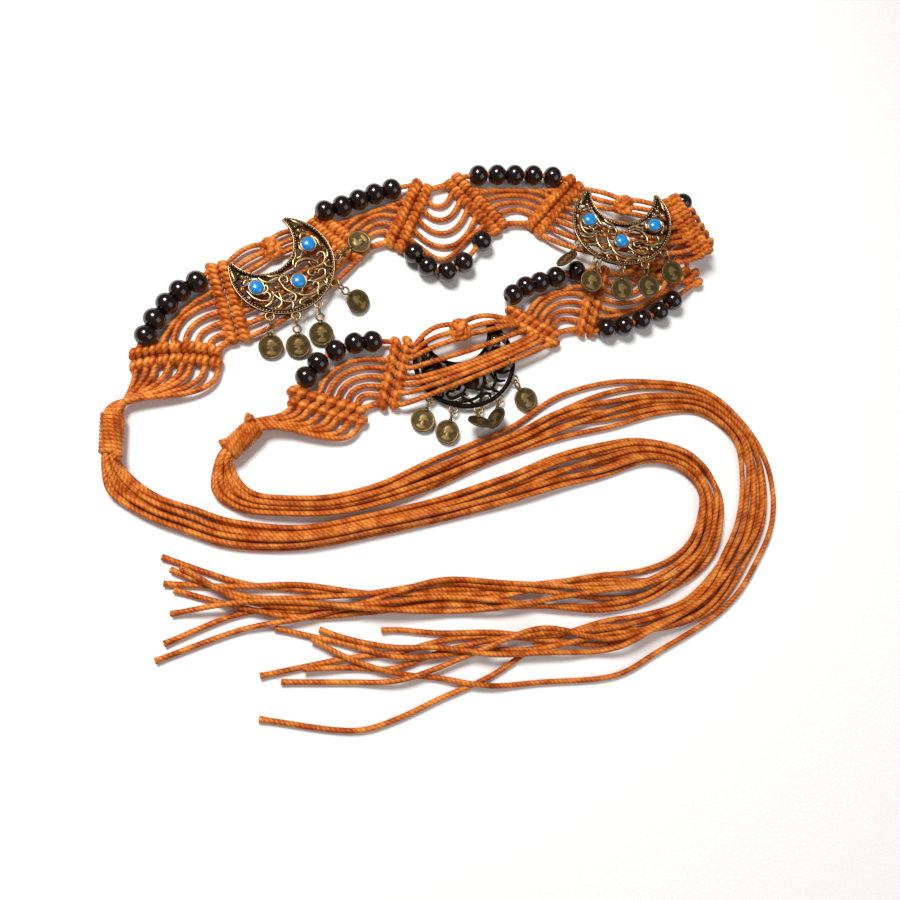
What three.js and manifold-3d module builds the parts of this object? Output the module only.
// Beaded rope belt: a knotted hip belt laid on a surface in a flattened loop.
// Millimetres, +Z up, Z 0 is the surface that the belt lies on.
import * as THREE from 'three';
import Module from 'manifold-3d';

const wasm = await Module();
wasm.setup();

// Middle of the laid-out belt in the plan that the tables below use
const PLAN_CENTRE = new THREE.Vector3(2, 3, 0);

// Cord, running gap and colours
const CORD = 2.4;
const CORD_SIDES = 3;
const CORD_RADIUS = 1.3;
const GAP = 0.35;
const CORD_HEIGHT = 2.7;
const PANEL_STEPS = 4;
const ROOT_DEPTH = 3.6;
const SAG = 1.0;
const FLOOR_CLEARANCE = 0.35;

// Double bar of knots
const KNOTS = 7;
const BAR_HALF_WIDTH = 5.4;
const BAR_HEIGHT = 5.3;
const WAIST = 0.84;
const BAR_PROFILE = [
  [-4.6, 0], [4.6, 0], [BAR_HALF_WIDTH, 2.8], [3.1, BAR_HEIGHT],
  [0, 4.0], [-3.1, BAR_HEIGHT], [-BAR_HALF_WIDTH, 2.8],
];

// Plain room of a bar, in which no neighbour's cord runs
const ROOM_SHOULDER = 4.7;
const ROOM_TOP_HALF = 3;
const ROOM_SHARES = [-0.015, 0.25, 0.5, 0.75, 1.015];

// Square knot on three cords: place along it against half width, then how wide and high it is
const KNOT_COLUMNS = ['along', 'size'];
const KNOT_PROFILE = [[-4, 1.5], [-2, 2.6], [0, 3], [2, 2.6], [4, 1.5]]
  .map((row) => named(KNOT_COLUMNS, row));
const KNOT_WIDE = 1.15;
const KNOT_HIGH = 0.75;
const KNOT_SIDES = 6;

// Folded panel: how far a cord runs out, its crease and its way back beneath
const FOLD = {
  out: 8, creaseX: 4.5, creaseLean: 3, creaseY: -1.5, sink: 0.55,
  under: 0.3, low: 1.44, back: 3, raise: 0.6,
};
const FOLD_STEPS = 7;

// Wooden bead: half length along the hole against radius
const BEAD_SIDES = 6;
const BEAD_PROFILE = [[-4.1, 2.5], [-1.9, 5.0], [1.9, 5.0], [4.1, 2.5]];
const BEAD_RADIUS = 5.0;
const STRING_START = 1.5;
const STRING_SHARE = 0.06;
const STRING_MIN = 5.4;
const BEAD_ROOM = 6.5;
const BEAD_NUDGE = 0.25;
const BEAD_GAP = 0.5;

// Crescent: outer and inner ellipse, plate, stones, loops and jump rings
const OUTER = { a: 24.3, b: 23.0 };
const INNER = { a: 15.6, b: 16.0, y: 15.4 };
const TIP_Y = 16.2;
const PLATE = 1.5;
const STONE_RADIUS = 3.25;
const STONE_HEIGHT = 1.7;
const STONES = [[-16, -0.5], [0, -10.5], [16, -0.5]];
const HOLE_COLUMNS = ['x', 'y', 'radius'];
const HOLES = [
  [7.5, -9, 2.1],
  [6, -16.5, 2.3],
  [15, -11, 2.4],
];
const WIRE_SIDES = 3;
const LOOP = { ring: 1.9, wire: 0.45, steps: 5 };
// Most that two pieces of wire that cross share, and the post that carries a jump ring
const WIRE_BITE = 0.5;
const POST = { radius: 0.7, sides: 4, bite: 0.3, lean: 0.01 };
const LOOP_ANGLES = [-56, -28, 0, 28, 56];
const JUMP_RING = { ring: 2.25, wire: 0.35, steps: 6 };
const RIM = 0.87;
const RIM_SEARCH_STEPS = 60;
const OUTER_STEPS = 18;
const INNER_STEPS = 10;
const HOLE_SIDES = 6;
const DOME_PROFILE = [[0, 0], [1, 0], [0.85, 0.6], [0, 1]];
const DOME_SIDES = 7;

// Coin and its jump ring, measured from the wire that it swings on
const COIN_RADIUS = 5.5;
const COIN_THICKNESS = 1.0;
const COIN_SIDES = 8;
const COIN_RING = { ring: 2.2, wire: 0.4, centre: 0.7, steps: 5 };
const LUG = { radius: 0.8, sides: 3, bite: 0.2, sunk: 1 };

// Wrapped knot
const WRAP = { radius: 5.0, turns: 9, groove: 0.6, bore: 3.75, sides: 7 };
const CORE = { radius: 3.3, sides: 8, overhang: 1.5 };

// Fan of cords from a wrapped knot to the end bar, in mm and as shares of its length
const FAN = { half: 2.4, level: 1.2, inside: 0.6, stop: 0.3, leave: 0.25, arrive: 0.4, steps: 3 };

const colour = (hex, roughness, metalness) =>
  new THREE.MeshStandardMaterial({ color: hex, roughness, metalness });
const COTTON = () => colour(0xc8692a, 0.6, 0);
const WOOD = () => colour(0x2a1510, 0.3, 0);
const BRONZE = () => colour(0x6b5636, 0.4, 0.9);
const TURQUOISE = () => colour(0x1e8fdc, 0.25, 0);
const BRASS = () => colour(0x7a6a45, 0.45, 0.9);

// Bars in their order along the belt: upper end, lower end, sideways bow
const RIB_COLUMNS = ['upperX', 'upperY', 'upperZ', 'lowerX', 'lowerY', 'lowerZ', 'bow'];
const RIBS = [
  [-144, 20, 0, -106, 24, 0, 3],
  [-111, 69, 0, -99, 32, 0, 0],
  [-69, 96, 0, -45, 79, 0, 0],
  [-17, 120, 0, -31.5, 84, 0, 0],
  [-4, 124.5, 0, 22, 99, 0, 0],
  [61.5, 131, 0, 37, 100.5, 0, 0],
  [105, 120.6, 11, 124.2, 91.8, 8.6, 0],
  [85, 86.5, 0, 124.5, 83.5, 0, 0],
  [72, 84, 0, 62, 48.5, 0, 0],
  [24, 56, 0, 48, 44.5, 0, 0],
  [-26.5, 39, 0, -33, 6, 0, 0],
  [-76, 9, 0, -43, 1, 0, 0],
].map((row) => named(RIB_COLUMNS, row));

// From this bar on the belt lies reverse side up
const FIRST_TURNED_BAR = 8;

// Panel after each bar, with the share of the bar at which each of its cords leaves.
// Reach and shift are shares of the way; lift, rise and the upper cords' crown are sizes
const SWAGS = [0.18, 0.33, 0.48, 0.63, 0.78];
const ALL_CORDS = [0.06, 0.17, 0.27, 0.42, 0.56, 0.655, 0.81, 0.96];
const DRAWN_CORDS = [0.06, 0.16, 0.25, 0.4, 0.55, 0.64, 0.765, 0.95];
const CROWN_SHARE = 0.5;
const PANELS = {
  1: { kind: 'arches', cords: [0.34, 0.47, 0.6, 0.73, 0.86], reach: [0.4, 0.42] },
  2: { kind: 'long', cords: ALL_CORDS, reach: [0.22, 0.22], lift: 0.4, crown: 6.5 },
  3: { kind: 'arches', cords: [0.36, 0.48, 0.6, 0.72, 0.84], reach: [0.3, 0.42] },
  4: { kind: 'swags', cords: SWAGS, reach: [0.5, 0.5], droop: 0.55 },
  5: { kind: 'arches', cords: [0.28, 0.41, 0.54, 0.67, 0.8], reach: [0.1, 0.42], shift: 0.09 },
  6: { kind: 'long', cords: ALL_CORDS, reach: [0.22, 0.22], lift: 2, crown: 3 },
  7: { kind: 'fold', cords: [0.32, 0.45, 0.58, 0.71, 0.84] },
  8: { kind: 'swags', cords: [0.16, 0.29, 0.42, 0.55, 0.68], reach: [0.42, 0.3] },
  9: { kind: 'arches', cords: [0.33, 0.45, 0.58, 0.71, 0.84], reach: [0.36, 0.42] },
  10: { kind: 'long', cords: DRAWN_CORDS, reach: [0.22, 0.02], lift: 1.8, crown: 11, rise: 2.1 },
  11: { kind: 'arches', cords: [0.35, 0.47, 0.6, 0.73, 0.86], reach: [0.38, 0.42] },
};

// Bead strings: the bars they run between, which edge, and the middle of each bead
const BEAD_STRINGS = [
  { from: 1, to: 2, edge: 0, beads: [[-138, 31], [-135, 39], [-130.5, 46.5], [-125.5, 53], [-118.7, 58]] },
  { from: 3, to: 4, edge: 0, beads: [[-64, 98.5], [-56, 102], [-48.5, 106], [-41, 110], [-33, 113.5]] },
  { from: 4, to: 5, edge: 1, beads: [[-22, 81.5], [-15.5, 75.5], [-6, 73.5], [2, 79], [11, 91]] },
  { from: 5, to: 6, edge: 0, beads: [[9.5, 126], [19, 127.5], [28, 128.5], [37.5, 129.5], [47.5, 130]] },
  { from: 7, to: 8, edge: 0, beads: [[117, 123.5], [111.5, 116], [105.5, 109.5], [99, 103.5], [93, 97]] },
  { from: 8, to: 9, edge: 1, beads: [[108, 69], [100.5, 62.5], [91, 57.5], [81.5, 53.5], [72.5, 51.5]] },
  { from: 9, to: 10, edge: 0, beads: [[58, 80], [47.5, 76], [39.5, 72.5], [32.3, 69.5], [25.8, 64.2, 6.8]] },
  { from: 11, to: 12, edge: 0, beads: [[-40.5, 36], [-48.5, 34.5], [-57, 30.5], [-64.5, 24], [-69.5, 17]] },
];

// Crescents: panel, the two cords (counted from 0) that carry each, its place and turn,
// the face that looks up and the tilt to the right
const CRESCENTS = [
  { panel: 2, hung: [3, 6], x: -82.2, y: 68.6, z: 6.7, turn: 47, faceUp: true, tilt: 0 },
  { panel: 6, hung: [3, 6], x: 79.5, y: 104.0, z: 14.0, turn: -4, faceUp: true, tilt: -9 },
  { panel: 10, hung: [3, 7], x: 2.7, y: 30.8, z: 3.0, turn: 17, faceUp: false, tilt: 0 },
];

// Coins in degrees: way that each lies from its loop, how far it dips and rolls, and its neck
const COINS = [
  { heading: [-85, -83, -82, -30, 40], dip: [19, 19, 19, 19, 2], roll: [0, 0, 0, 0, 0], lug: 4.2 },
  { heading: [-128, -105, -88, -80, -66], dip: [-4, 8, 9, 9, 9], roll: [60, 0, 0, 0, 0], lug: 1.4 },
  { heading: [-108, -104, -98, -104, -58], dip: [4, 4, -50, -16, 4], roll: [0, 0, 0, 62, 0], lug: 1.4 },
];

// Wrapped knots and ties: the core runs from the fan side to the tie side
const WRAPS = [
  { fan: [-148.3, -4, 5.7], tie: [-147.6, -22.5, 5.7] },
  { fan: [-89.5, -6, 5.7], tie: [-101, -18.8, 5.7] },
];

// Gates across each tie in order: the two edges of the bunch of cords
const GATE_COLUMNS = ['x0', 'y0', 'x1', 'y1'];
const TIE_A_GATES = [
  [-142, -26, -150.8, -28.5], [-138.5, -31.5, -147.5, -37], [-128, -38, -132, -47],
  [-112, -42.5, -116, -53], [-99, -47.2, -97, -58.5],
  [-69, -49.5, -69, -58], [-38.5, -43, -38.5, -51.5], [-10, -35, -7.5, -44], [22, -22, 25.5, -35],
  [46.5, -11.5, 48.5, -27], [67, -6, 68.5, -21], [89, -2.5, 91.5, -12.5], [114, -7.5, 108.5, -16],
  [127, -24, 117, -27], [127, -40, 115, -42], [121.5, -55.5, 109.5, -52], [109, -69, 98.5, -60],
  [89, -79, 83, -65], [66.5, -82.5, 64.5, -67], [46, -83.5, 46.5, -67.5], [18.5, -84, 18.5, -70],
  [-8.5, -84, -8.5, -70.5], [-40, -86, -40, -74], [-68, -87, -68.5, -73.5], [-92, -85, -93, -73],
].map((row) => named(GATE_COLUMNS, row));
const TIE_B_GATES = [
  [-108.5, -26, -99.5, -25.5], [-106, -35, -94, -33], [-96, -42.5, -87, -36.5], [-80, -44, -74, -37],
  [-56.5, -43, -57, -36], [-33.5, -37.5, -34.5, -29], [-11, -29.5, -14, -18], [9, -19, 5.5, -9],
  [30, -10, 25.5, 0.5], [51.5, -2.5, 47, 16], [74.5, 3.5, 72.5, 25], [97, 11, 97.5, 27],
  [118.5, 13, 124.5, 23.5], [135.5, 2, 145, 5.5], [140, -12, 154, -10.5], [139, -29.5, 156, -29],
  [134, -44, 152.5, -44.5], [124.5, -57, 144, -59], [115, -70, 134, -73], [104, -79, 119, -85.5],
  [86, -84.5, 91.5, -100.5], [64.5, -88.5, 70, -111], [37, -90.5, 36.5, -113.5], [14, -92.5, 13.5, -115],
  [-8.5, -93, -8, -120.5], [-28, -93, -27, -129], [-46.5, -96, -45.5, -132.5],
].map((row) => named(GATE_COLUMNS, row));

// Lane of each cord across its gates at a few of them, 0 at the first edge, then its free end
const TIE_A_STATIONS = [0, 6, 11, 15, 18, 21, 23, 24];
const TIE_A_LANES = [
  { lanes: [0.0, 0.15, 0.0, 0.2, 0.9, 0.7, 0.85, 1.0], end: [-124.7, -63.1] },
  { lanes: [0.15, 0.0, 0.3, 0.0, 0.35, 0.9, 0.6, 0.55], end: [-120.8, -68.3] },
  { lanes: [0.3, 0.45, 0.15, 0.45, 0.0, 0.45, 0.3, 0.4], end: [-116.6, -67.4] },
  { lanes: [0.45, 0.3, 0.6, 0.3, 0.75, 0.55, 1.0, 0.85], end: [-123.2, -74.0] },
  { lanes: [0.6, 0.75, 0.45, 0.75, 0.15, 0.2, 0.0, 0.15], end: [-119, -76.5] },
  { lanes: [0.7, 0.6, 0.85, 0.6, 0.55, 0.0, 0.45, 0.3], end: [-119.5, -86.1] },
  { lanes: [0.85, 1.0, 0.75, 1.0, 1.0, 0.3, 0.2, -0.05], end: [-121.3, -98] },
  { lanes: [1.0, 0.85, 1.0, 0.85, 0.6, 1.0, -0.05, -0.6], end: [-124.2, -104.7] },
];
const TIE_B_STATIONS = [0, 4, 8, 11, 15, 19, 21, 22, 23, 24, 25, 26];
const TIE_B_LANES = [
  { lanes: [0.0, 0.1, 0.0, 0.0, 0.35, 0.0, -0.03, 0.3, 0.83, 0.98, 0.98, 1.0], end: [-82.4, -127.4] },
  { lanes: [0.15, 0.0, 0.3, 0.15, 0.0, 0.15, 0.1, 0.1, 0.15, 0.29, 0.41, 0.31], end: [-65.6, -107.8] },
  { lanes: [0.3, 0.4, 0.12, 0.4, 0.15, 0.3, 0.3, 0.0, 0.24, 0.51, 0.55, 0.47], end: [-74.3, -113] },
  { lanes: [0.42, 0.25, 0.5, 0.3, 0.5, 0.45, 0.4, 0.22, 0.07, 0.12, 0.24, 0.2], end: [-82.9, -110.6] },
  { lanes: [0.56, 0.7, 0.4, 0.6, 0.3, 0.6, 0.2, 0.38, 0.33, 0.34, 0.28, 0.06], end: [-77.8, -91.5] },
  { lanes: [0.7, 0.55, 0.65, 0.5, 0.6, 0.25, 0.5, 0.46, 0.42, 0.22, 0.17, 0.0], end: [-59.5, -91.8] },
  { lanes: [0.85, 0.85, 0.55, 0.85, 0.72, 0.75, 0.05, 0.15, 0.0, 0.0, -0.04], end: [-33.5, -92] },
  { lanes: [1.0, 1.0, 1.0, 1.0, 1.0, 1.0, 1.0, 1.0, 1.0, 0.68, 0.46, 0.22], end: [-62.8, -95.7] },
];
const STRAND_SIDES = 3;
const STRAND_RADIUS = 1.25;
// Order in which the cords of a tie are laid, so that they settle between each other
const LAY_ORDER = [0, 3, 6, 1, 4, 7, 2, 5];
// Place of each cord across the mouth of the wrapped knot, and how far out it starts
const ROOTS = [
  [2.2, -1.4], [0, -2.3], [-2.2, -1.4], [1.5, 0.3],
  [-0.4, 0.1], [-2.4, 0.6], [0.9, 2.2], [-1.3, 2.2],
];
const ROOT_PUSH = { foot: 0.9, lead: 2.6 };
const LAY_STEPS = 110;
const ROOT_STEPS = 9;
const EASE_STEPS = 6;
const EASE_DROP = 0.12;
const STACK_STEP = 3.0;
const STACK_LIMIT = 9;
const STRAND_SLACK = 2.6;
const GUIDE_STRAND = 4;
// How far a shape may be simplified
const COARSENESS = { piece: 0.2, tie: 0.5 };

function named(columns, row) {
  return Object.fromEntries(columns.map((column, i) => [column, row[i]]));
}

// Closed solid from points and triangles, turned to face out
function solidFrom(points, faces) {
  const build = (list) => new wasm.Manifold(new wasm.Mesh({
    numProp: 3,
    vertProperties: new Float32Array(points.flatMap((p) => [p.x, p.y, p.z])),
    triVerts: new Uint32Array(list.flat()),
  }));
  const solid = build(faces);
  return solid.volume() > 0 ? solid : build(faces.map(([a, b, c]) => [a, c, b]));
}

// Skin over rings of equal count, capped at both ends
function loft(rings) {
  const sides = rings[0].length;
  const points = rings.flat();
  const faces = [];
  for (let i = 0; i + 1 < rings.length; i += 1) {
    for (let j = 0; j < sides; j += 1) {
      const a = i * sides + j;
      const b = i * sides + ((j + 1) % sides);
      faces.push([a, b, b + sides], [a, b + sides, a + sides]);
    }
  }
  const last = (rings.length - 1) * sides;
  for (let j = 1; j + 1 < sides; j += 1) {
    faces.push([0, j + 1, j], [last, last + j, last + j + 1]);
  }
  return solidFrom(points, faces);
}

// Directions across a path, carried along it without twist
function framesAlong(path) {
  const frames = [];
  let side = null;
  path.forEach((point, i) => {
    const before = path[Math.max(i - 1, 0)];
    const after = path[Math.min(i + 1, path.length - 1)];
    const along = after.clone().sub(before).normalize();
    side = side || along.clone().cross(new THREE.Vector3(0, 0, 1));
    side = side.clone().addScaledVector(along, -side.dot(along)).normalize();
    frames.push({ point, along, side, up: side.clone().cross(along).normalize() });
  });
  return frames;
}

function ringAt(frame, radius, sides) {
  return Array.from({ length: sides }, (_, j) => {
    const angle = (2 * Math.PI * j) / sides + Math.PI / 2;
    return frame.point.clone()
      .addScaledVector(frame.side, radius * Math.cos(angle))
      .addScaledVector(frame.up, radius * Math.sin(angle));
  });
}

function cordSolid(path, radius = CORD_RADIUS, sides = CORD_SIDES) {
  return loft(framesAlong(path).map((frame) => ringAt(frame, radius, sides)));
}

function smoothPath(points, steps) {
  return new THREE.CatmullRomCurve3(points, false, 'centripetal').getPoints(steps);
}

// Path with only the points that keep it within the slack
function thinned(path, slack) {
  const last = path.length - 1;
  const chord = new THREE.Line3(path[0], path[last]);
  const away = path.map((point) =>
    chord.closestPointToPoint(point, true, new THREE.Vector3()).distanceTo(point));
  const worst = away.indexOf(Math.max(...away));
  if (last < 2 || away[worst] < slack) {
    return [path[0], path[last]];
  }
  const before = thinned(path.slice(0, worst + 1), slack);
  return [...before.slice(0, -1), ...thinned(path.slice(worst), slack)];
}

// Closed ring of wire about a centre, standing across the given axis
function wireRing(centre, axis, start, { ring, wire, steps }) {
  const sides = WIRE_SIDES;
  const u = start.clone().addScaledVector(axis, -start.dot(axis)).normalize();
  const v = axis.clone().cross(u).normalize();
  const points = [];
  const faces = [];
  for (let i = 0; i < steps; i += 1) {
    const turn = (2 * Math.PI * (i + 0.5)) / steps;
    const out = u.clone().multiplyScalar(Math.cos(turn)).addScaledVector(v, Math.sin(turn));
    for (let j = 0; j < sides; j += 1) {
      const round = (2 * Math.PI * j) / sides;
      points.push(centre.clone()
        .addScaledVector(out, ring + wire * Math.cos(round))
        .addScaledVector(axis, wire * Math.sin(round)));
      const a = i * sides + j;
      const b = i * sides + ((j + 1) % sides);
      const c = ((i + 1) % steps) * sides + j;
      const d = ((i + 1) % steps) * sides + ((j + 1) % sides);
      faces.push([a, b, d], [a, d, c]);
    }
  }
  return solidFrom(points, faces);
}

function largestPiece(solid) {
  return solid.decompose().sort((a, b) => b.volume() - a.volume())[0];
}

function union(solids) {
  return solids.reduce((whole, solid) => whole.add(solid));
}

// Place on a bar: 0 at its upper end, 1 at its lower end
function onRib(number, share, height = 0) {
  const rib = RIBS[number - 1];
  const upper = new THREE.Vector3(rib.upperX, rib.upperY, rib.upperZ);
  const lower = new THREE.Vector3(rib.lowerX, rib.lowerY, rib.lowerZ);
  const bow = rib.bow * 4 * share * (1 - share);
  return upper.lerp(lower, share)
    .addScaledVector(ribSide(number), bow)
    .add(new THREE.Vector3(0, 0, height));
}

// Level direction across a bar, along the belt towards the next one
function ribSide(number) {
  const rib = RIBS[number - 1];
  const side = new THREE.Vector3(rib.upperY - rib.lowerY, rib.lowerX - rib.upperX, 0).normalize();
  return number < FIRST_TURNED_BAR ? side : side.negate();
}

// Lumpy double bar of knots with a flat underside
function barSolid(number) {
  const side = ribSide(number);
  const rings = [];
  for (let i = 0; i <= 2 * KNOTS; i += 1) {
    const size = i % 2 === 1 ? 1 : WAIST;
    rings.push(BAR_PROFILE.map(([across, up]) =>
      onRib(number, i / (2 * KNOTS), up * size).addScaledVector(side, across * size)));
  }
  return loft(rings);
}

// Plain room that a bar needs, with the running gap all round
function barRoom(number) {
  const side = ribSide(number);
  const wide = BAR_HALF_WIDTH + GAP;
  const top = BAR_HEIGHT + GAP;
  const profile = [
    [-wide, -GAP], [wide, -GAP], [wide, ROOM_SHOULDER],
    [ROOM_TOP_HALF, top], [-ROOM_TOP_HALF, top], [-wide, ROOM_SHOULDER],
  ];
  return loft(ROOM_SHARES.map((share) =>
    profile.map(([across, up]) => onRib(number, share, up).addScaledVector(side, across))));
}

// Face of a bar that a cord leaves or meets, square to the bar
function leaves(number, share) {
  return onRib(number, share, CORD_HEIGHT).addScaledVector(ribSide(number), ROOT_DEPTH);
}

function meets(number, share) {
  return onRib(number, share, CORD_HEIGHT).addScaledVector(ribSide(number), -BAR_HALF_WIDTH - 2 * GAP);
}

function downTheBar(number) {
  return onRib(number, 1).sub(onRib(number, 0)).setZ(0).normalize();
}

// Point of a cord moved in from the string of beads along the panel's edge
function clearOfBeads(number, point) {
  const string = BEAD_STRINGS.find(({ from }) => from === number);
  if (!string) {
    return point;
  }
  const inward = downTheBar(number).add(downTheBar(number + 1)).normalize()
    .multiplyScalar(string.edge ? -BEAD_NUDGE : BEAD_NUDGE);
  const centres = beadCentres(string.beads);
  const tooNear = () => centres.some((centre, i) => {
    const ends = new THREE.Line3(centre.clone().setZ(0), (centres[i + 1] || centre).clone().setZ(0));
    const level = point.clone().setZ(0);
    return ends.closestPointToPoint(level, true, new THREE.Vector3()).distanceTo(level) < BEAD_ROOM;
  });
  while (tooNear()) {
    point.add(inward);
  }
  return point;
}

// Cord from one bar to the next, square to both, so it arches where they part
function panelCord(number, share, panel) {
  const rise = new THREE.Vector3(0, 0, panel.rise || 0);
  const start = leaves(number, share).add(rise);
  const end = meets(number + 1, share + (panel.shift || 0) * (1 - share)).add(rise);
  const [upper, lower] = panel.reach;
  const reach = start.distanceTo(end) * THREE.MathUtils.lerp(upper, lower, share);
  const droop = panel.droop || 0;
  const out = start.clone().addScaledVector(ribSide(number), reach)
    .addScaledVector(downTheBar(number), reach * droop);
  const back = end.clone().addScaledVector(ribSide(number + 1), -reach)
    .addScaledVector(downTheBar(number + 1), reach * droop);
  const curve = new THREE.CubicBezierCurve3(start, out, back, end);
  const lift = panel.lift === undefined ? -SAG : panel.lift;
  const crown = Math.max(0, 1 - share / CROWN_SHARE) * (panel.crown || 0);
  const upward = downTheBar(number).add(downTheBar(number + 1)).normalize().negate();
  return curve.getPoints(PANEL_STEPS).map((point, i) => {
    const middle = Math.min(1, 1.2 * Math.sin((Math.PI * i) / PANEL_STEPS));
    point.addScaledVector(upward, crown * middle).add(new THREE.Vector3(0, 0, lift * middle));
    return i > 0 && i < PANEL_STEPS ? clearOfBeads(number, point) : point;
  });
}

// Cord of the folded panel: out of the raised bar, round the crease and back beneath it
function foldCord(number, share) {
  const start = leaves(number, share);
  const end = meets(number + 1, share);
  const low = FLOOR_CLEARANCE + FOLD.low;
  const out = onRib(number, share, CORD_HEIGHT).addScaledVector(ribSide(number), FOLD.out);
  const crease = out.clone()
    .add(new THREE.Vector3(FOLD.creaseX - FOLD.creaseLean * share, FOLD.creaseY, 0))
    .setZ(out.z * FOLD.sink);
  const under = out.clone().lerp(end, FOLD.under).setZ(low);
  const back = end.clone().addScaledVector(ribSide(number + 1), -FOLD.back).setZ(low + FOLD.raise);
  return smoothPath([start, out, crease, under, back, end], FOLD_STEPS);
}

function squareKnot(centre, along) {
  const side = along.clone().cross(new THREE.Vector3(0, 0, 1)).normalize();
  return loft(KNOT_PROFILE.map(({ along: place, size }) => Array.from({ length: KNOT_SIDES }, (_, j) => {
    const angle = (2 * Math.PI * j) / KNOT_SIDES;
    return centre.clone()
      .addScaledVector(along, place)
      .addScaledVector(side, KNOT_WIDE * size * Math.cos(angle))
      .add(new THREE.Vector3(0, 0, KNOT_HIGH * size * Math.sin(angle)));
  })));
}

// Paths of a panel's cords, bar to bar
function panelPaths(number) {
  const panel = PANELS[number];
  return panel.cords.map((share) =>
    (panel.kind === 'fold' ? foldCord(number, share) : panelCord(number, share, panel)));
}

// Bar with the cords of the panel after it, stopping short of the next bar
function sectionSolid(number) {
  const strings = BEAD_STRINGS.filter(({ from, to }) => from === number || to === number);
  const bar = strings.reduce(
    (solid, string) => solid.subtract(beadStringSolid(string, BEAD_GAP)),
    barSolid(number),
  );
  if (!PANELS[number]) {
    return bar;
  }
  const parts = [bar.subtract(barRoom(number + 1))];
  const paths = panelPaths(number);
  parts.push(...paths.map((path) => cordSolid(path)));
  if (PANELS[number].kind === 'long') {
    const [above, middle, below] = paths.map((path) => path[PANEL_STEPS / 2]);
    parts.push(squareKnot(middle, paths[1][PANEL_STEPS].clone().sub(paths[1][0]).normalize()));
    parts.push(cordSolid([above, middle, below]));
  }
  return largestPiece(union(parts));
}

function beadCentres(beads) {
  return beads.map(([x, y, z = BEAD_RADIUS + FLOOR_CLEARANCE]) => new THREE.Vector3(x, y, z));
}

// Five beads on their cord, as one turned string
function beadStringSolid({ from, to, edge, beads }, room = 0) {
  const share = edge ? 1 - STRING_SHARE : STRING_SHARE;
  const [start, end] = [[from, 1], [to, -1]].map(([bar, way]) => onRib(bar, share, CORD_HEIGHT)
    .addScaledVector(ribSide(bar), way * (BAR_HALF_WIDTH + STRING_START)));
  const centres = beadCentres(beads);
  const frames = framesAlong([start, ...centres, end]);
  const [first, ...middle] = frames;
  const last = middle.pop();
  const rings = [];
  if (first.point.distanceTo(centres[0]) > STRING_MIN) {
    rings.push(ringAt(first, CORD / 2 + room, BEAD_SIDES));
  }
  middle.forEach((frame) => {
    BEAD_PROFILE.forEach(([along, radius]) => {
      const point = frame.point.clone().addScaledVector(frame.along, along);
      rings.push(ringAt({ ...frame, point }, radius + room, BEAD_SIDES));
    });
  });
  if (last.point.distanceTo(centres[centres.length - 1]) > STRING_MIN) {
    rings.push(ringAt(last, CORD / 2 + room, BEAD_SIDES));
  }
  return loft(rings);
}

// Place of a crescent's own point in the belt
function crescentMatrix({ x, y, z, turn, faceUp, tilt }) {
  const matrix = new THREE.Matrix4().makeTranslation(x, y, z);
  matrix.multiply(new THREE.Matrix4().makeRotationZ(THREE.MathUtils.degToRad(turn)));
  matrix.multiply(new THREE.Matrix4().makeRotationY(THREE.MathUtils.degToRad(faceUp ? tilt : 180)));
  return matrix;
}

function ellipsePoint(ellipse, angle) {
  return new THREE.Vector2(ellipse.a * Math.sin(angle), (ellipse.y || 0) - ellipse.b * Math.cos(angle));
}

function crescentShape() {
  const outerEnd = Math.acos(-TIP_Y / OUTER.b);
  const innerEnd = Math.acos((INNER.y - TIP_Y) / INNER.b);
  const points = [];
  for (let i = 0; i <= OUTER_STEPS; i += 1) {
    points.push(ellipsePoint(OUTER, outerEnd * ((2 * i) / OUTER_STEPS - 1)));
  }
  for (let i = INNER_STEPS; i >= 0; i -= 1) {
    points.push(ellipsePoint(INNER, innerEnd * ((2 * i) / INNER_STEPS - 1)));
  }
  const shape = new THREE.Shape(points);
  HOLES.map((row) => named(HOLE_COLUMNS, row)).forEach(({ x, y, radius }) => {
    [-1, 1].forEach((mirror) => {
      const ring = Array.from({ length: HOLE_SIDES }, (_, j) => new THREE.Vector2(
        mirror * x + radius * Math.cos((2 * Math.PI * j) / HOLE_SIDES),
        y + radius * Math.sin((2 * Math.PI * j) / HOLE_SIDES),
      ));
      shape.holes.push(new THREE.Path(ring));
    });
  });
  return shape;
}

function fromGeometry(geometry, matrix) {
  geometry.applyMatrix4(matrix);
  const position = geometry.getAttribute('position');
  const points = [];
  const places = new Map();
  const corner = [];
  for (let i = 0; i < position.count; i += 1) {
    const point = new THREE.Vector3().fromBufferAttribute(position, i);
    const key = point.toArray().map((value) => Math.round(value * 1e4)).join();
    if (!places.has(key)) {
      places.set(key, points.length);
      points.push(point);
    }
    corner.push(places.get(key));
  }
  const order = geometry.index ? Array.from(geometry.index.array, (i) => corner[i]) : corner;
  const faces = [];
  for (let i = 0; i < order.length; i += 3) {
    faces.push([order[i], order[i + 1], order[i + 2]]);
  }
  return solidFrom(points, faces.filter(([a, b, c]) => a !== b && b !== c && a !== c));
}

// Hinge of each coin: middle of the outer wire of its loop, and the way the coin lies
function coinHinges(index) {
  const crescent = CRESCENTS[index];
  const matrix = crescentMatrix(crescent);
  return LOOP_ANGLES.map((degrees, i) => {
    const angle = THREE.MathUtils.degToRad(crescent.faceUp ? degrees : -degrees);
    const rim = ellipsePoint(OUTER, angle);
    const heading = THREE.MathUtils.degToRad(COINS[index].heading[i]);
    const out = new THREE.Vector3(Math.cos(heading), Math.sin(heading), 0);
    const edge = new THREE.Vector3(rim.x, rim.y, 0).applyMatrix4(matrix);
    const pin = edge.clone().addScaledVector(out, 2 * LOOP.ring - WIRE_BITE);
    const loop = edge.addScaledVector(out, LOOP.ring - WIRE_BITE);
    const { dip, roll, lug } = COINS[index];
    return { pin, out, loop, dip: dip[i], roll: roll[i], lug };
  });
}

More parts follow.
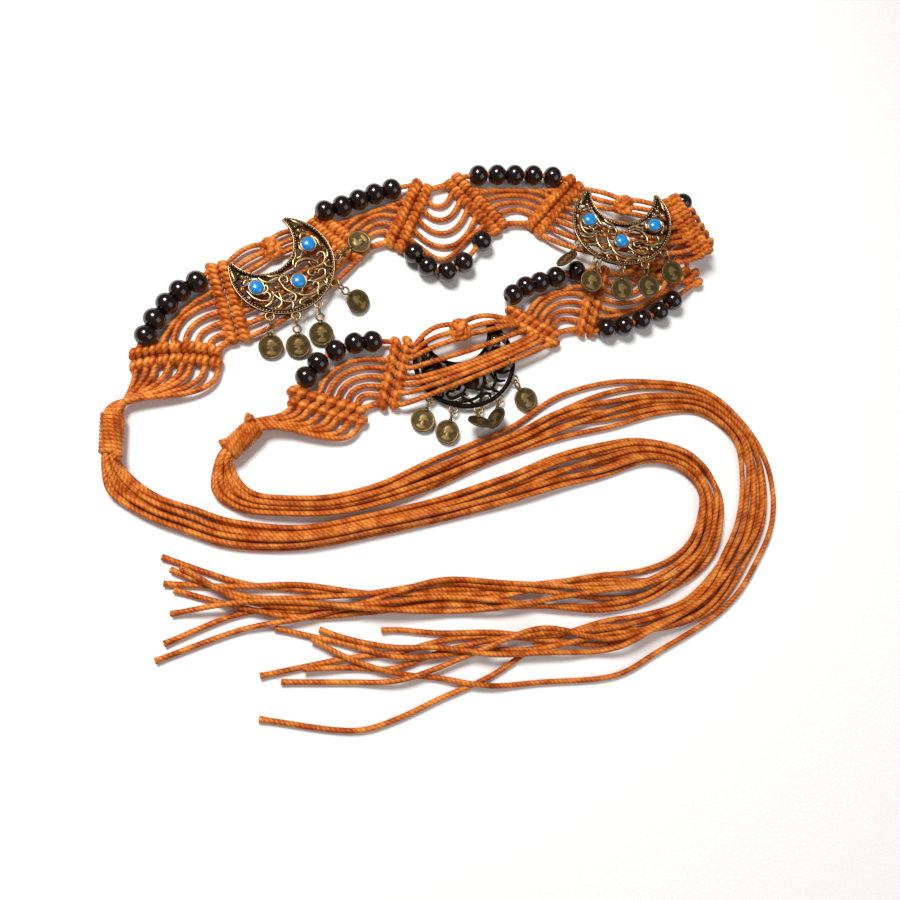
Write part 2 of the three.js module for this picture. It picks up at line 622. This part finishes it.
// Where a cord of the panel passes under the crescent's rim, from the left to the right
function rimCrossings(index, path) {
  const inverse = crescentMatrix(CRESCENTS[index]).invert();
  const fine = smoothPath(path, RIM_SEARCH_STEPS);
  const found = [];
  let before = null;
  fine.forEach((point, i) => {
    const local = point.clone().applyMatrix4(inverse);
    const out = Math.hypot(local.x / OUTER.a, local.y / OUTER.b) - RIM;
    if (before !== null && out * before < 0) {
      found.push({ point, along: fine[i].clone().sub(fine[i - 1]).normalize() });
    }
    before = out;
  });
  return found;
}

function crescentSolid(index) {
  const crescent = CRESCENTS[index];
  const matrix = crescentMatrix(crescent);
  const plate = new THREE.ExtrudeGeometry(crescentShape(), { depth: PLATE, bevelEnabled: false });
  plate.translate(0, 0, -PLATE / 2);
  const parts = [fromGeometry(plate, matrix)];
  const up = new THREE.Vector3(0, 0, 1);
  coinHinges(index).forEach(({ loop, out }) => {
    parts.push(wireRing(loop, up, out, LOOP));
  });
  const paths = panelPaths(crescent.panel);
  crescent.hung.forEach((cord) => {
    rimCrossings(index, paths[cord]).forEach(({ point, along }) => {
      parts.push(wireRing(point, along, up, JUMP_RING));
      const way = crescent.faceUp ? 1 : -1;
      const edge = point.clone().addScaledVector(up, way * (JUMP_RING.ring - POST.bite));
      const plateEnd = edge.clone()
        .addScaledVector(up, way * Math.abs(crescent.z - edge.z))
        .addScaledVector(along, POST.lean);
      parts.push(cordSolid([edge, plateEnd], POST.radius, POST.sides));
    });
  });
  return union(parts);
}

function stoneSolid(index, [x, y]) {
  const points = DOME_PROFILE.map(([r, h]) => new THREE.Vector2(r * STONE_RADIUS, h * STONE_HEIGHT));
  const dome = new THREE.LatheGeometry(points, DOME_SIDES);
  dome.rotateX(Math.PI / 2);
  dome.translate(x, y, PLATE / 2 + GAP);
  return fromGeometry(dome, crescentMatrix(CRESCENTS[index]));
}

function coinSolid({ pin, out, dip, roll, lug }) {
  const slope = THREE.MathUtils.degToRad(dip);
  const along = out.clone().multiplyScalar(Math.cos(slope)).setZ(-Math.sin(slope));
  const axis = new THREE.Vector3(-out.y, out.x, 0);
  const face = along.clone().cross(axis).normalize();
  const wide = axis.clone().applyAxisAngle(along, THREE.MathUtils.degToRad(roll));
  const thin = face.clone().applyAxisAngle(along, THREE.MathUtils.degToRad(roll));
  const ringFoot = COIN_RING.centre + COIN_RING.ring;
  const middle = pin.clone().addScaledVector(along, ringFoot + lug - LUG.sunk + COIN_RADIUS);
  const disc = [-0.5, 0.5].map((level) => Array.from({ length: COIN_SIDES }, (_, j) => {
    const angle = (2 * Math.PI * (j + 0.5)) / COIN_SIDES;
    return middle.clone()
      .addScaledVector(along, COIN_RADIUS * Math.cos(angle))
      .addScaledVector(wide, COIN_RADIUS * Math.sin(angle))
      .addScaledVector(thin, level * COIN_THICKNESS);
  }));
  const ringCentre = pin.clone().addScaledVector(along, COIN_RING.centre);
  const neck = [ringFoot - LUG.bite, ringFoot + lug - LUG.bite]
    .map((far) => pin.clone().addScaledVector(along, far));
  return loft(disc)
    .add(cordSolid(neck, LUG.radius, LUG.sides))
    .add(wireRing(ringCentre, axis, along, COIN_RING));
}

// Wrapped knot: a sleeve with a lump for each turn and an open bore
function wrapSolid({ fan, tie }) {
  const start = new THREE.Vector3(...fan);
  const end = new THREE.Vector3(...tie);
  const along = end.clone().sub(start).normalize();
  const side = along.clone().cross(new THREE.Vector3(0, 0, 1)).normalize();
  const section = [];
  for (let i = 0; i <= 2 * WRAP.turns; i += 1) {
    section.push([i / (2 * WRAP.turns), WRAP.radius - (i % 2 === 1 ? 0 : WRAP.groove)]);
  }
  section.push([1, WRAP.bore], [0, WRAP.bore]);
  const { sides } = WRAP;
  const points = [];
  const faces = [];
  for (let j = 0; j < sides; j += 1) {
    const angle = (2 * Math.PI * (j + 0.5)) / sides;
    section.forEach(([share, radius], k) => {
      const scale = radius / Math.cos(Math.PI / sides);
      points.push(start.clone().lerp(end, share)
        .addScaledVector(side, scale * Math.cos(angle))
        .add(new THREE.Vector3(0, 0, scale * Math.sin(angle))));
      const next = ((j + 1) % sides) * section.length;
      const a = j * section.length + k;
      const b = j * section.length + ((k + 1) % section.length);
      const c = next + k;
      const d = next + ((k + 1) % section.length);
      faces.push([a, b, d], [a, d, c]);
    });
  }
  return solidFrom(points, faces);
}

// Plan route of one loose cord of a tie, gate by gate to its end
function strandPlan(gates, stations, { lanes, end }) {
  const route = gates.map((gate, g) => {
    let s = 0;
    while (s + 2 < lanes.length && stations[s + 1] < g) {
      s += 1;
    }
    if (g > stations[lanes.length - 1]) {
      return null;
    }
    const share = THREE.MathUtils.smoothstep(g, stations[s], stations[s + 1]);
    const lane = THREE.MathUtils.lerp(lanes[s], lanes[s + 1], share);
    return new THREE.Vector3(
      THREE.MathUtils.lerp(gate.x0, gate.x1, lane),
      THREE.MathUtils.lerp(gate.y0, gate.y1, lane),
      0,
    );
  });
  return [...route.filter(Boolean), new THREE.Vector3(...end, 0)];
}

// Heights that lay each loose cord on those laid before it
function layStrands(plans, rootHeight) {
  const floor = CORD / 2 + FLOOR_CLEARANCE;
  const laid = [];
  return LAY_ORDER.map((number) => {
    const path = smoothPath(plans[number], LAY_STEPS);
    const heights = path.map((point, i) => {
      let z = floor;
      laid.forEach((other) => other.forEach((below) => {
        const apart = Math.hypot(point.x - below.x, point.y - below.y);
        if (apart < STACK_STEP) {
          z = Math.max(z, below.z + Math.sqrt(STACK_STEP ** 2 - apart ** 2));
        }
      }));
      const rooted = Math.max(0, 1 - i / ROOT_STEPS);
      return Math.max(z, THREE.MathUtils.lerp(floor, rootHeight, rooted));
    });
    const eased = heights.map((_, i) => {
      let z = heights[i];
      const first = Math.max(0, i - EASE_STEPS);
      const last = Math.min(heights.length - 1, i + EASE_STEPS);
      for (let j = first; j <= last; j += 1) {
        z = Math.max(z, heights[j] - EASE_DROP * (j - i) ** 2);
      }
      return z;
    });
    path.forEach((point, i) => point.setZ(floor + STACK_LIMIT * Math.tanh((eased[i] - floor) / STACK_LIMIT)));
    laid.push(path);
    return path;
  });
}

function tieSolid(index, plans) {
  const { fan, tie } = WRAPS[index];
  const start = new THREE.Vector3(...fan);
  const end = new THREE.Vector3(...tie);
  const along = end.clone().sub(start).normalize();
  const side = along.clone().cross(new THREE.Vector3(0, 0, 1)).normalize();
  const inner = start.clone().addScaledVector(along, -CORE.overhang);
  const outer = end.clone().addScaledVector(along, CORE.overhang);
  const parts = [cordSolid([inner, outer], CORE.radius, CORE.sides)];
  const root = (centre, [across, up], push) => centre.clone()
    .addScaledVector(side, across)
    .add(new THREE.Vector3(0, 0, up))
    .addScaledVector(along, push);
  const paths = layStrands(plans, tie[2]).map((path, i) =>
    [root(end, ROOTS[i], ROOT_PUSH.foot), root(end, ROOTS[i], ROOT_PUSH.lead), ...path.slice(2)]);
  const guide = paths[GUIDE_STRAND];
  const marks = thinned(guide, STRAND_SLACK).map((point) => guide.indexOf(point));
  paths.forEach((path) => {
    parts.push(cordSolid(marks.map((i) => path[i]), STRAND_RADIUS, STRAND_SIDES));
  });
  const bar = index === 0 ? 1 : 12;
  ALL_CORDS.forEach((share, i) => {
    const away = ribSide(bar).multiplyScalar(index === 0 ? -1 : 1);
    const target = onRib(bar, share, CORD_HEIGHT).addScaledVector(away, BAR_HALF_WIDTH + GAP + FAN.stop);
    const across = FAN.half * ((2 * i) / (ALL_CORDS.length - 1) - 1) * (index === 0 ? 1 : -1);
    const foot = root(start, [across, i % 2 ? FAN.level : -FAN.level], -FAN.inside);
    const reach = foot.distanceTo(target);
    const curve = new THREE.CubicBezierCurve3(
      foot,
      foot.clone().addScaledVector(along, -FAN.leave * reach),
      target.clone().addScaledVector(away, FAN.arrive * reach),
      target,
    );
    parts.push(cordSolid(curve.getPoints(FAN.steps), STRAND_RADIUS, STRAND_SIDES));
  });
  return largestPiece(union(parts));
}

const group = new THREE.Group();
group.position.copy(PLAN_CENTRE).negate();

function addPiece(name, solid, material, coarseness = COARSENESS.piece) {
  const mesh = largestPiece(solid.simplify(coarseness)).getMesh();
  const geometry = new THREE.BufferGeometry();
  geometry.setAttribute('position', new THREE.BufferAttribute(new Float32Array(mesh.vertProperties), 3));
  geometry.setIndex(new THREE.BufferAttribute(new Uint32Array(mesh.triVerts), 1));
  geometry.computeVertexNormals();
  const piece = new THREE.Mesh(geometry, material);
  piece.name = name;
  group.add(piece);
}

const two = (number) => String(number).padStart(2, '0');
RIBS.forEach((_, i) => addPiece(`section_${two(i + 1)}`, sectionSolid(i + 1), COTTON()));
const tiePlans = [
  TIE_A_LANES.map((lane) => strandPlan(TIE_A_GATES, TIE_A_STATIONS, lane)),
  TIE_B_LANES.map((lane) => strandPlan(TIE_B_GATES, TIE_B_STATIONS, lane)),
];
['a', 'b'].forEach((letter, i) => {
  addPiece(`tie_${letter}`, tieSolid(i, tiePlans[i]), COTTON(), COARSENESS.tie);
  addPiece(`wrap_${letter}`, wrapSolid(WRAPS[i]), COTTON());
});
BEAD_STRINGS.forEach((string, i) => addPiece(`beads_${i + 1}`, beadStringSolid(string), WOOD()));
CRESCENTS.forEach((_, c) => {
  addPiece(`crescent_${c + 1}`, crescentSolid(c), BRONZE());
  STONES.forEach((place, s) => addPiece(`stone_${c + 1}_${s + 1}`, stoneSolid(c, place), TURQUOISE()));
  coinHinges(c).forEach((hinge, k) => addPiece(`coin_${c + 1}_${k + 1}`, coinSolid(hinge), BRASS()));
});

export default group;
